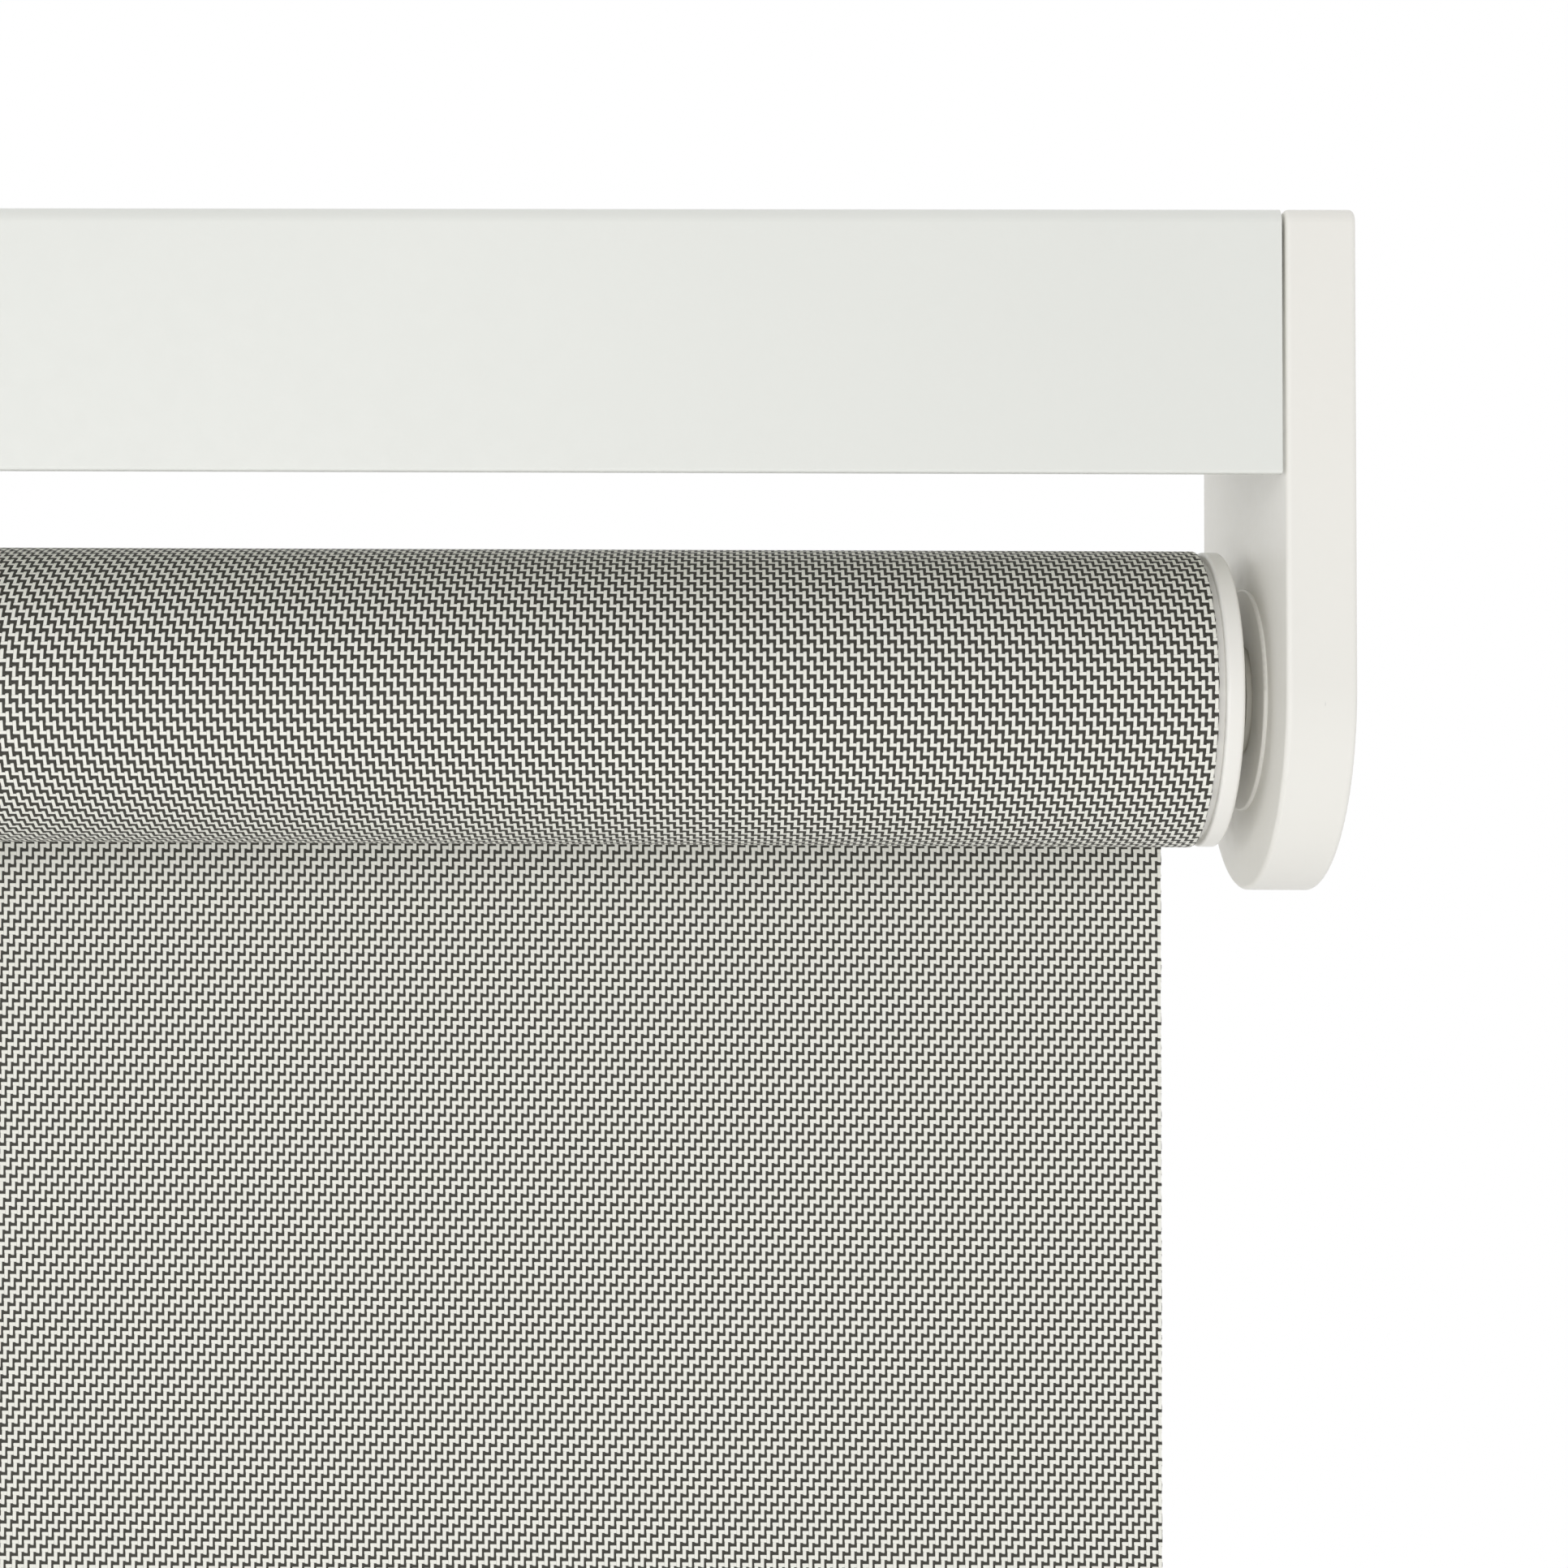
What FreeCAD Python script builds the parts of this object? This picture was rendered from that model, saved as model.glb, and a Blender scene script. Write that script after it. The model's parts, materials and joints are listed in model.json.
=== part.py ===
"""Roller blind: an open headrail between two D-shaped end brackets, a spring-driven tube that winds
a woven screen cloth, and a weighted bottom rail with a pull handle.

X runs along the blind, +Y points at the wall or glass, and +Z is up. The origin is the centre of
the ceiling face. Every node is written to parts/NODE.step, in millimetres."""

import FreeCAD
import Part
import math
import os

V = FreeCAD.Vector
X_AXIS, Y_AXIS, Z_AXIS = V(1, 0, 0), V(0, 1, 0), V(0, 0, 1)
TINY = 0.01

# Driving dimensions.
BLIND_WIDTH = 600.0
BRACKET_DEPTH = 64.0
BRACKET_HEIGHT = 107.5
BRACKET_THICK = 11.0
FASCIA_HEIGHT = 42.0
CLOTH_WIDTH = 560.0
CLOTH_THICK = 0.8
ROLL_R = 25.0
TUBE_R = 22.4
DROP = 600.0  # cloth between the roller's axis and the bottom rail, blind down
RUNNING_GAP = 0.05  # radial clearance of every shaft that turns or slides
BODY_GAP = 0.3  # between parts that move past each other

# Sizes that follow from them.
INNER_X = BLIND_WIDTH / 2 - BRACKET_THICK  # inner face of the right bracket
OUTER_X = BLIND_WIDTH / 2
BRACKET_R = BRACKET_DEPTH / 2
AXIS_Z = BRACKET_R - BRACKET_HEIGHT
CLOTH_X = CLOTH_WIDTH / 2
FRONT_Y, REAR_Y = -BRACKET_R, BRACKET_R

# End brackets.
BRACKET_WALL = 3.0
BRACKET_WEB = 3.2
BRACKET_CORNER = 2.5
BRACKET_EDGE = 0.8
COVER_THICK = 2.0
COVER_LEDGE = 1.5
COVER_FIT = 0.15
COVER_EDGE = 0.5
PEG_R, PEG_LENGTH, POST_R = 1.5, 4.0, 3.0
BOSS_R, BOSS_RISE, BOSS_EDGE = 18.7, 0.6, 0.4
DISH_R = 10.5
BUSH_R = 7.0
BUSH_FLANGE_R, BUSH_FLANGE_THICK = 9.0, 1.2
STEEL_THICK = 1.6
STEEL_HALF = 20.0
STEEL_X = INNER_X + BRACKET_WEB

# Headrail extrusion.
RAIL_END_GAP = 0.6
RAIL_WALL = 1.6
FASCIA_EDGE = 0.5
DECK_Z = -8.0
CHANNEL_HALF = 22.0
CHANNEL_MOUTH = 18.5
REAR_FLANGE_Z = -3.0
REAR_LEG_Z = -16.0
LEG_BEAD = 1.4
PORT_Y, PORT_Z = 16.0, -13.2
PORT_R, PORT_BORE_R, PORT_SLIT = 3.7, 1.8, 1.2
SCREW_R, SCREW_LENGTH = 1.7, 18.0
SCREW_HEAD_R, SCREW_HEAD, SCREW_CROWN = 3.4, 2.2, 0.9
SCREW_HOLE_R = 1.9

# Mounting clips.
CLIP_X = 180.0
CLIP_HALF = 22.0
CLIP_THICK = 2.0
CLIP_FOOT_Z = -4.6
CLIP_HOLE_R = 2.25
CLIP_HOLE_SHIFT = 14.0  # towards the blind's middle, clear of the latch
CLIP_HOLE_Y = 9.0
LATCH_HALF = 8.0
LATCH_FRONT_Y = 8.0
LATCH_TAB_Y = 31.0
LATCH_TRAVEL = 3.5
LATCH_LOW_Z = -6.4
LATCH_TAB_CORNER = 3.0
CHEEK = 2.0

# Roller and its end plugs.
TUBE_WALL = 1.4
KEY_HALF, KEY_DEPTH = 3.0, 2.4
COLLAR_R, COLLAR_LENGTH = 23.6, 1.2
FLANGE_R, FLANGE_THICK, FLANGE_EDGE = 24.8, 3.0, 0.6
PLUG_LENGTH = 42.0
PLUG_CORE_R = 17.0
PLUG_RIBS, PLUG_RIB_HALF = 8, 1.2
TUBE_FIT = 0.1

# Sprung idler pin, in the right-hand plug.
PIN_R, PIN_REACH, PIN_NOSE = 4.0, 4.5, 1.0
PIN_COLLAR_R, PIN_COLLAR_X, PIN_COLLAR = 5.5, 272.0, 2.0
PIN_TAIL_R, PIN_TAIL_X = 3.0, 263.0
PIN_CHAMBER_R = 5.6
PIN_SEAT_X = 254.0
PIN_COIL_R, PIN_COIL_WIRE, PIN_COIL_PITCH, PIN_COIL_TURNS = 4.6, 0.5, 2.1, 8

# Spring drive, on the fixed axle at the left.
AXLE_R, AXLE_HALF_SQUARE = 4.0, 3.5
AXLE_SQUARE_X = -286.0
AXLE_END_X = -66.0
BELL_R, BELL_X = 13.0, -262.0
DRUM_R, DRUM_X0, DRUM_X1 = 10.0, -258.0, -242.0
BRAKE_WIRE, BRAKE_PITCH, BRAKE_TURNS = 0.8, 2.2, 5
COIL_R, COIL_WIRE, COIL_PITCH, COIL_TURNS, COIL_X = 11.5, 1.1, 5.0, 24, -214.0
HUB_SPIGOT_R, HUB_FLANGE_R, HUB_FLANGE, HUB_SPIGOT = 10.0, 14.0, 8.0, 12.0
FIXED_HUB_X = -226.0
DRIVE_HUB_X = -74.0

# Bottom rail, down.
RAIL_LENGTH = 556.0
RAIL_HEIGHT, RAIL_DEPTH, RAIL_ROUND = 26.0, 10.0, 3.8
RAIL_SKIN = 1.3
SLOT_HALF = 0.9
HEM_DEPTH, HEM_CHAMBER_R, HEM_CHAMBER_DROP = 7.0, 3.0, 5.0
SPLINE_R = 1.2
CAVITY_DROP, CAVITY_ROUND = 9.6, 2.5
END_CAP, END_CAP_EDGE, END_SPIGOT = 2.0, 0.6, 8.0
WEIGHT_LENGTH, WEIGHT_THICK, WEIGHT_HEIGHT, WEIGHT_ROUND = 540.0, 6.0, 11.0, 1.0
HANDLE_HALF, HANDLE_DROP, HANDLE_THICK = 32.0, 20.0, 4.0
HANDLE_ROLL_R, HANDLE_ROLL_END = 3.4, 1.5
HANDLE_WALL, HANDLE_GRIP, HANDLE_CORNER = 1.2, 9.0, 8.0
PANEL_Y = ROLL_R + BODY_GAP + CLOTH_THICK / 2
RAIL_TOP_Z = AXIS_Z - DROP
RAIL_LOW_Z = RAIL_TOP_Z - RAIL_HEIGHT


def box(x0, x1, y0, y1, z0, z1):
    """A box between two corners."""
    return Part.makeBox(x1 - x0, y1 - y0, z1 - z0, V(x0, y0, z0))


def rod(r, x0, x1, y=0.0, z=AXIS_Z):
    """A cylinder along X, on the roller's axis unless y and z say otherwise."""
    return Part.makeCylinder(r, x1 - x0, V(x0, y, z), X_AXIS)


def ring(r_out, r_in, x0, x1, y=0.0, z=AXIS_Z):
    """A round sleeve along X."""
    return rod(r_out, x0, x1, y, z).cut(rod(r_in, x0, x1, y, z))


def joined(*shapes):
    """Shapes fused into one solid, with coplanar faces merged."""
    first, *rest = shapes
    return first.multiFuse(rest).removeSplitter()


def group(shapes):
    """Separate solids kept together in one node."""
    return Part.makeCompound(shapes)


def mirrored(shape):
    """The same piece for the other end of the blind."""
    return shape.mirror(V(0, 0, 0), X_AXIS)


def rounded(shape, radius, pick):
    """A fillet on each edge whose bounding box satisfies pick."""
    return shape.makeFillet(radius, [e for e in shape.Edges if pick(e.BoundBox)])


def coil(radius, wire_r, pitch, turns, start, direction):
    """A wire coil about direction, whose first turn is centred on start."""
    path = Part.Wire(Part.makeHelix(pitch, pitch * turns, radius))
    along = V(0, radius, pitch / math.tau)
    section = Part.Wire(Part.makeCircle(wire_r, V(radius, 0, 0), along))
    wire = path.makePipeShell([section], True, True)
    wire.Placement = FreeCAD.Placement(start, FreeCAD.Rotation(Z_AXIS, direction))
    return wire


def d_plate(inset, x0, x1):
    """The bracket's D outline, drawn in by inset: square at the top, half round at the bottom."""
    r = BRACKET_R - inset
    return joined(box(x0, x1, -r, r, AXIS_Z, -inset), rod(r, x0, x1))


# --- End brackets, modelled at the right-hand end ----------------------------------------------


PEG_PLACES = [
    (-STEEL_HALF - POST_R - 1.0, -40.0),
    (STEEL_HALF + POST_R + 1.0, -40.0),
    (-17.0, AXIS_Z - 19.0),
    (17.0, AXIS_Z - 19.0),
]


def end_bracket():
    """Moulded bracket: a web with a round boss towards the roller, and a rim open to the outside."""
    body = d_plate(0.0, INNER_X, OUTER_X)
    body = rounded(body, BRACKET_CORNER, lambda b: b.XLength > 1 and b.ZMin > -TINY)
    body = rounded(body, BRACKET_EDGE, lambda b: b.XLength < TINY)
    body = body.cut(d_plate(BRACKET_WALL, INNER_X + BRACKET_WEB, OUTER_X))
    body = body.cut(d_plate(COVER_LEDGE, OUTER_X - COVER_THICK, OUTER_X))
    boss_x = INNER_X - BOSS_RISE
    boss = rounded(rod(BOSS_R, boss_x, INNER_X + 0.5), BOSS_EDGE, lambda b: b.XMax < boss_x + TINY)
    body = joined(body, boss).cut(rod(DISH_R, boss_x, INNER_X))
    body = body.cut(rod(BUSH_R, boss_x, STEEL_X))
    for y in (-PORT_Y, PORT_Y):
        body = body.cut(rod(SCREW_HOLE_R, INNER_X - 1, STEEL_X, y, PORT_Z))
    posts = [ring(POST_R, PEG_R, STEEL_X - 0.5, OUTER_X - COVER_THICK, y, z) for y, z in PEG_PLACES]
    body = joined(body, *posts)
    for y, z in PEG_PLACES:
        body = body.cut(rod(PEG_R, STEEL_X, OUTER_X, y, z))
    return body


def bracket_cover():
    """The flush plate that closes the bracket's outer side, with four pegs."""
    plate = d_plate(COVER_LEDGE + COVER_FIT, OUTER_X - COVER_THICK, OUTER_X)
    plate = rounded(plate, COVER_EDGE, lambda b: b.XMin > OUTER_X - TINY)
    inner_x = OUTER_X - COVER_THICK
    pegs = [rod(PEG_R, inner_x - PEG_LENGTH, inner_x + 1.0, y, z) for y, z in PEG_PLACES]
    return joined(plate, *pegs)


def bracket_plate():
    """The steel plate in the bracket that carries the roller's load to the screws."""
    x0, x1 = STEEL_X, STEEL_X + STEEL_THICK
    upper = box(x0, x1, -STEEL_HALF, STEEL_HALF, -52.0, -7.0)
    neck = box(x0, x1, -13.0, 13.0, AXIS_Z, -51.0)
    plate = joined(upper, neck, rod(13.0, x0, x1))
    plate = plate.cut(rod(BUSH_R, x0, x1)).cut(box(x0, x1, -8.0, 8.0, -48.0, -24.0))
    for y in (-PORT_Y, PORT_Y):
        plate = plate.cut(rod(SCREW_HOLE_R, x0, x1, y, PORT_Z))
    return plate


def bracket_screw(y):
    """A pan-head screw through the steel plate and bracket into a screw port of the headrail."""
    head_x = STEEL_X + STEEL_THICK
    top_x = head_x + SCREW_HEAD
    head = rod(SCREW_HEAD_R, head_x, top_x, y, PORT_Z)
    head = rounded(head, SCREW_CROWN, lambda b: b.XMin > top_x - TINY)
    screw = joined(rod(SCREW_R, head_x - SCREW_LENGTH, head_x + 0.5, y, PORT_Z), head)
    for half_y, half_z in ((2.0, 0.4), (0.4, 2.0)):
        slot = box(top_x - 1.2, top_x + 1, y - half_y, y + half_y, PORT_Z - half_z, PORT_Z + half_z)
        screw = screw.cut(slot)
    return screw


def bracket_screws():
    """The four screws that hold the brackets to the headrail."""
    right = [bracket_screw(y) for y in (-PORT_Y, PORT_Y)]
    return group(right + [mirrored(s) for s in right])


def bush_body():
    """A flanged plastic bush, still solid."""
    flange = rod(BUSH_FLANGE_R, INNER_X - BUSH_FLANGE_THICK, INNER_X)
    return joined(flange, rod(BUSH_R, INNER_X - 0.5, STEEL_X + STEEL_THICK))


def idler_bush():
    """The round bush in which the idler pin turns."""
    return bush_body().cut(rod(PIN_R + RUNNING_GAP, INNER_X - 5, OUTER_X))


def axle_socket():
    """The left-hand bush, square inside so that the axle can't turn."""
    h = AXLE_HALF_SQUARE
    return mirrored(bush_body().cut(box(INNER_X - 5, OUTER_X, -h, h, AXIS_Z - h, AXIS_Z + h)))


# --- Headrail ----------------------------------------------------------------------------------


def headrail():
    """The extrusion: fascia, clip channel on top, rear leg and two screw ports."""
    end_x = INNER_X - RAIL_END_GAP

    def strip(y0, y1, z0, z1):
        return box(-end_x, end_x, y0, y1, z0, z1)

    wall_y = CHANNEL_HALF + RAIL_WALL
    rear_low = REAR_FLANGE_Z - RAIL_WALL
    strips = [
        strip(FRONT_Y, FRONT_Y + RAIL_WALL, -FASCIA_HEIGHT, 0.0),  # fascia
        strip(FRONT_Y, -CHANNEL_MOUTH, -RAIL_WALL, 0.0),  # front flange and lip
        strip(-wall_y, -CHANNEL_HALF, DECK_Z - RAIL_WALL, 0.0),  # channel's front wall
        strip(-wall_y, wall_y, DECK_Z - RAIL_WALL, DECK_Z),  # deck
        strip(CHANNEL_HALF, wall_y, DECK_Z - RAIL_WALL, REAR_FLANGE_Z),  # channel's rear wall
        strip(CHANNEL_MOUTH, REAR_Y, rear_low, REAR_FLANGE_Z),  # rear flange and lip
        strip(REAR_Y - RAIL_WALL, REAR_Y, REAR_LEG_Z, REAR_FLANGE_Z),  # rear leg
        strip(REAR_Y - RAIL_WALL - LEG_BEAD, REAR_Y, REAR_LEG_Z, REAR_LEG_Z + LEG_BEAD),
    ]
    for y in (-PORT_Y, PORT_Y):
        strips += [rod(PORT_R, -end_x, end_x, y, PORT_Z), strip(y - 1.5, y + 1.5, PORT_Z, DECK_Z)]
    rail = joined(*strips)
    for y in (-PORT_Y, PORT_Y):
        rail = rail.cut(rod(PORT_BORE_R, -end_x, end_x, y, PORT_Z))
        rail = rail.cut(strip(y - PORT_SLIT / 2, y + PORT_SLIT / 2, PORT_Z - PORT_R - 1, PORT_Z))

    def front_edge(b):
        return b.XLength > end_x and b.YMax < FRONT_Y + TINY

    rail = rounded(rail, BRACKET_CORNER, lambda b: front_edge(b) and b.ZMin > -TINY)
    return rounded(rail, FASCIA_EDGE, lambda b: front_edge(b) and b.ZMax < TINY - FASCIA_HEIGHT)


# --- Mounting clips, modelled at the right-hand place ------------------------------------------


def clip_body():
    """The ceiling plate, with a fixed front hook and two cheeks that guide the latch."""
    x0, x1 = CLIP_X - CLIP_HALF, CLIP_X + CLIP_HALF
    front = BODY_GAP - CHANNEL_MOUTH
    rear = CHANNEL_MOUTH - BODY_GAP
    gap = LATCH_HALF + BODY_GAP
    plate = box(x0, x1, front, rear, -CLIP_THICK, 0.0)
    notch = box(CLIP_X - gap, CLIP_X + gap, LATCH_FRONT_Y + 4.0, rear, -CLIP_THICK, 0.0)
    leg = box(x0, x1, front, front + CLIP_THICK, CLIP_FOOT_Z, -CLIP_THICK)
    hook = box(x0, x1, 0.6 - CHANNEL_HALF, front + CLIP_THICK, CLIP_FOOT_Z, -RAIL_WALL - 0.3)
    stop = box(CLIP_X - gap, CLIP_X + gap, -CHEEK, 0.0, LATCH_LOW_Z, -CLIP_THICK)
    cheeks = [
        box(CLIP_X - gap - CHEEK, CLIP_X - gap, -CHEEK, rear, LATCH_LOW_Z, -CLIP_THICK),
        box(CLIP_X + gap, CLIP_X + gap + CHEEK, -CHEEK, rear, LATCH_LOW_Z, -CLIP_THICK),
    ]
    body = joined(plate.cut(notch), leg, hook, stop, *cheeks)
    for y in (-CLIP_HOLE_Y, CLIP_HOLE_Y):
        place = V(CLIP_X - CLIP_HOLE_SHIFT, y, -2 * CLIP_THICK)
        body = body.cut(Part.makeCylinder(CLIP_HOLE_R, 3 * CLIP_THICK, place, Z_AXIS))
    return body


def clip_latch():
    """The sliding hook that grips the headrail's rear lip, and its thumb tab behind the rail."""
    x0, x1 = CLIP_X - LATCH_HALF, CLIP_X + LATCH_HALF
    rear = CHANNEL_MOUTH - BODY_GAP
    riser_y = LATCH_FRONT_Y + 4.0 + LATCH_TRAVEL + BODY_GAP
    hook_z = REAR_FLANGE_Z - RAIL_WALL - BODY_GAP
    slide = box(x0, x1, LATCH_FRONT_Y, rear, LATCH_LOW_Z, -CLIP_THICK - BODY_GAP)
    hook = box(x0, x1, rear - 1, CHANNEL_HALF - 0.6, LATCH_LOW_Z, hook_z)
    tab_low = REAR_FLANGE_Z + BODY_GAP
    tab = box(x0, x1, riser_y, LATCH_TAB_Y, tab_low, -BODY_GAP)
    tab = rounded(tab, LATCH_TAB_CORNER, lambda b: b.ZLength > 1 and b.YMin > LATCH_TAB_Y - TINY)
    riser = box(x0, x1, riser_y, rear, LATCH_LOW_Z, -BODY_GAP)
    return joined(slide, hook, tab, riser)


def latch_spring():
    """The small compression spring between the clip's stop and the latch."""
    wire = 0.3
    pitch, turns = 1.2, 6
    z = (LATCH_LOW_Z - CLIP_THICK) / 2
    return coil(1.5, wire, pitch, turns, V(CLIP_X, wire + 0.05, z), Y_AXIS)


# --- Roller ------------------------------------------------------------------------------------


def roller_tube():
    """Aluminium tube with one inward keyway along its top."""
    floor_z = AXIS_Z + TUBE_R - KEY_DEPTH
    tube = ring(TUBE_R, TUBE_R - TUBE_WALL, -CLOTH_X, CLOTH_X)
    half = KEY_HALF + TUBE_WALL
    rib = box(-CLOTH_X, CLOTH_X, -half, half, floor_z - TUBE_WALL, floor_z + 1.2)
    groove = box(-CLOTH_X, CLOTH_X, -KEY_HALF, KEY_HALF, floor_z, AXIS_Z + TUBE_R + 1)
    return joined(tube, rib).cut(groove)


def cloth_spline():
    """The plastic strip that locks the cloth's upper edge into the tube's keyway."""
    floor_z = AXIS_Z + TUBE_R - KEY_DEPTH
    half = KEY_HALF - 0.2
    strip = box(1 - CLOTH_X, CLOTH_X - 1, -half, half, floor_z + 0.05, floor_z + KEY_DEPTH - 0.4)
    return rounded(strip, 0.4, lambda b: b.XLength > CLOTH_X and b.ZMin > floor_z + 1)


def fabric_roll():
    """The turns of cloth that stay on the tube when the blind is down."""
    return ring(ROLL_R, TUBE_R, -CLOTH_X, CLOTH_X)


def fabric_panel():
    """The hanging cloth, from the roller's axis height to a narrower hem inside the bottom rail."""
    y0, y1 = PANEL_Y - CLOTH_THICK / 2, PANEL_Y + CLOTH_THICK / 2
    hem_x = RAIL_LENGTH / 2 - 1
    sheet = box(-CLOTH_X, CLOTH_X, y0, y1, RAIL_TOP_Z + BODY_GAP, AXIS_Z)
    return joined(sheet, box(-hem_x, hem_x, y0, y1, RAIL_TOP_Z - HEM_DEPTH, RAIL_TOP_Z + 1))


def plug_body():
    """A right-hand end plug, still solid: flange, collar and a ribbed barrel inside the tube."""
    inner_x = CLOTH_X - PLUG_LENGTH
    flange_x = CLOTH_X + COLLAR_LENGTH
    flange = rod(FLANGE_R, flange_x, flange_x + FLANGE_THICK)
    flange = rounded(flange, FLANGE_EDGE, lambda b: b.XLength < TINY)
    barrel = rod(PLUG_CORE_R, inner_x, CLOTH_X)
    reach = TUBE_R - TUBE_WALL - TUBE_FIT
    ribs = []
    for i in range(PLUG_RIBS):
        low_z, high_z = AXIS_Z + PLUG_CORE_R - 1, AXIS_Z + reach
        rib = box(inner_x, CLOTH_X, -PLUG_RIB_HALF, PLUG_RIB_HALF, low_z, high_z)
        rib.rotate(V(0, 0, AXIS_Z), X_AXIS, (i + 0.5) * 360 / PLUG_RIBS)
        ribs.append(rib.common(rod(reach, inner_x, CLOTH_X)))
    return joined(rod(COLLAR_R, CLOTH_X, flange_x), flange, barrel, *ribs)


def idler_plug():
    """The right-hand plug, bored for the sprung pin."""
    plug = plug_body().cut(rod(PIN_R + RUNNING_GAP, CLOTH_X - PLUG_LENGTH, INNER_X))
    return plug.cut(rod(PIN_CHAMBER_R, CLOTH_X - PLUG_LENGTH, PIN_COLLAR_X + PIN_COLLAR))


def pin_seat():
    """The plug that closes the pin's chamber and backs its spring."""
    x0 = CLOTH_X - PLUG_LENGTH
    return ring(PIN_CHAMBER_R, PIN_TAIL_R + 0.2, x0, PIN_SEAT_X)


def idler_pin():
    """The steel pin that springs into the right-hand bracket's bush."""
    tip_x = INNER_X + PIN_REACH
    shank = rod(PIN_R, PIN_COLLAR_X, tip_x)
    shank = rounded(shank, PIN_NOSE, lambda b: b.XMin > tip_x - TINY)
    collar = rod(PIN_COLLAR_R, PIN_COLLAR_X, PIN_COLLAR_X + PIN_COLLAR)
    return joined(shank, collar, rod(PIN_TAIL_R, PIN_TAIL_X, PIN_COLLAR_X + 0.5))


def pin_spring():
    """The compression spring behind the idler pin's collar."""
    start = V(PIN_SEAT_X + PIN_COIL_WIRE + 0.05, 0, AXIS_Z)
    return coil(PIN_COIL_R, PIN_COIL_WIRE, PIN_COIL_PITCH, PIN_COIL_TURNS, start, X_AXIS)


def drive_plug():
    """The left-hand plug, bored for its bush and belled for the brake."""
    plug = mirrored(plug_body())
    plug = plug.cut(rod(BUSH_R, -INNER_X, BELL_X))
    return plug.cut(rod(BELL_R, BELL_X, PLUG_LENGTH - CLOTH_X))


def drive_bush():
    """The plain bush on which the left-hand plug turns about the fixed axle."""
    outer_x = -CLOTH_X - COLLAR_LENGTH - FLANGE_THICK
    return ring(BUSH_R, AXLE_R + RUNNING_GAP, outer_x, BELL_X)


# --- Spring drive ------------------------------------------------------------------------------


def spring_axle():
    """The fixed axle, with a square end in the left-hand bracket."""
    h = AXLE_HALF_SQUARE
    square = box(-STEEL_X - STEEL_THICK, AXLE_SQUARE_X, -h, h, AXIS_Z - h, AXIS_Z + h)
    return joined(rod(AXLE_R, AXLE_SQUARE_X - 1, AXLE_END_X), square)


def brake_drum():
    """The fixed drum that the brake spring grips."""
    return ring(DRUM_R, AXLE_R, DRUM_X0, DRUM_X1)


def brake_spring():
    """The wrap spring that turns with the plug and drags on the drum, so the blind stays put."""
    radius = DRUM_R + RUNNING_GAP + BRAKE_WIRE
    start_x = DRUM_X0 + BRAKE_WIRE + 1.0
    return coil(radius, BRAKE_WIRE, BRAKE_PITCH, BRAKE_TURNS, V(start_x, 0, AXIS_Z), X_AXIS)


def torsion_spring():
    """The long spring that helps to raise the blind."""
    return coil(COIL_R, COIL_WIRE, COIL_PITCH, COIL_TURNS, V(COIL_X, 0, AXIS_Z), X_AXIS)


def fixed_hub():
    """The spring's fixed anchor, on the axle."""
    flange_x = FIXED_HUB_X + HUB_FLANGE
    flange = rod(HUB_FLANGE_R, FIXED_HUB_X, flange_x)
    hub = joined(flange, rod(HUB_SPIGOT_R, flange_x, flange_x + HUB_SPIGOT))
    return hub.cut(rod(AXLE_R, FIXED_HUB_X, flange_x + HUB_SPIGOT))


def drive_hub():
    """The spring's turning anchor, keyed into the tube, with the axle's end running in it."""
    inner_x = DRIVE_HUB_X - HUB_FLANGE
    flange = rod(TUBE_R - TUBE_WALL - TUBE_FIT, inner_x, DRIVE_HUB_X)
    half = KEY_HALF + TUBE_WALL + TUBE_FIT
    key_z = AXIS_Z + TUBE_R - KEY_DEPTH - TUBE_WALL - TUBE_FIT
    flange = flange.cut(box(inner_x, DRIVE_HUB_X, -half, half, key_z, AXIS_Z + TUBE_R))
    hub = joined(flange, rod(HUB_SPIGOT_R, inner_x - HUB_SPIGOT, inner_x))
    return hub.cut(rod(AXLE_R + RUNNING_GAP, inner_x - HUB_SPIGOT, DRIVE_HUB_X))


# --- Bottom rail -------------------------------------------------------------------------------


def rail_outline(x0, x1, grow=0.0):
    """The bottom rail's rounded outer form."""
    half = RAIL_DEPTH / 2 + grow
    body = box(x0, x1, PANEL_Y - half, PANEL_Y + half, RAIL_LOW_Z - grow, RAIL_TOP_Z)
    return rounded(body, RAIL_ROUND + grow, lambda b: b.XLength > 1)


def rail_cavity(x0, x1, shrink=0.0):
    """The lower hollow of the bottom rail, which holds the weight and the end caps."""
    half = RAIL_DEPTH / 2 - RAIL_SKIN - shrink
    low, high = RAIL_LOW_Z + RAIL_SKIN + shrink, RAIL_TOP_Z - CAVITY_DROP - shrink
    body = box(x0, x1, PANEL_Y - half, PANEL_Y + half, low, high)
    return rounded(body, CAVITY_ROUND, lambda b: b.XLength > 1)


def bottom_rail():
    """The extruded bottom rail: a slot and round chamber for the hem above a long hollow."""
    half = RAIL_LENGTH / 2
    chamber_z = RAIL_TOP_Z - HEM_CHAMBER_DROP
    rail = rail_outline(-half, half).cut(rail_cavity(-half, half))
    rail = rail.cut(rod(HEM_CHAMBER_R, -half, half, PANEL_Y, chamber_z))
    return rail.cut(box(-half, half, PANEL_Y - SLOT_HALF, PANEL_Y + SLOT_HALF, chamber_z, RAIL_TOP_Z))


def hem_spline():
    """The plastic rod that holds the cloth's hem in the rail."""
    y = PANEL_Y + CLOTH_THICK / 2 + 0.05 + SPLINE_R
    half = RAIL_LENGTH / 2 - 1
    return rod(SPLINE_R, -half, half, y, RAIL_TOP_Z - HEM_CHAMBER_DROP)


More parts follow.
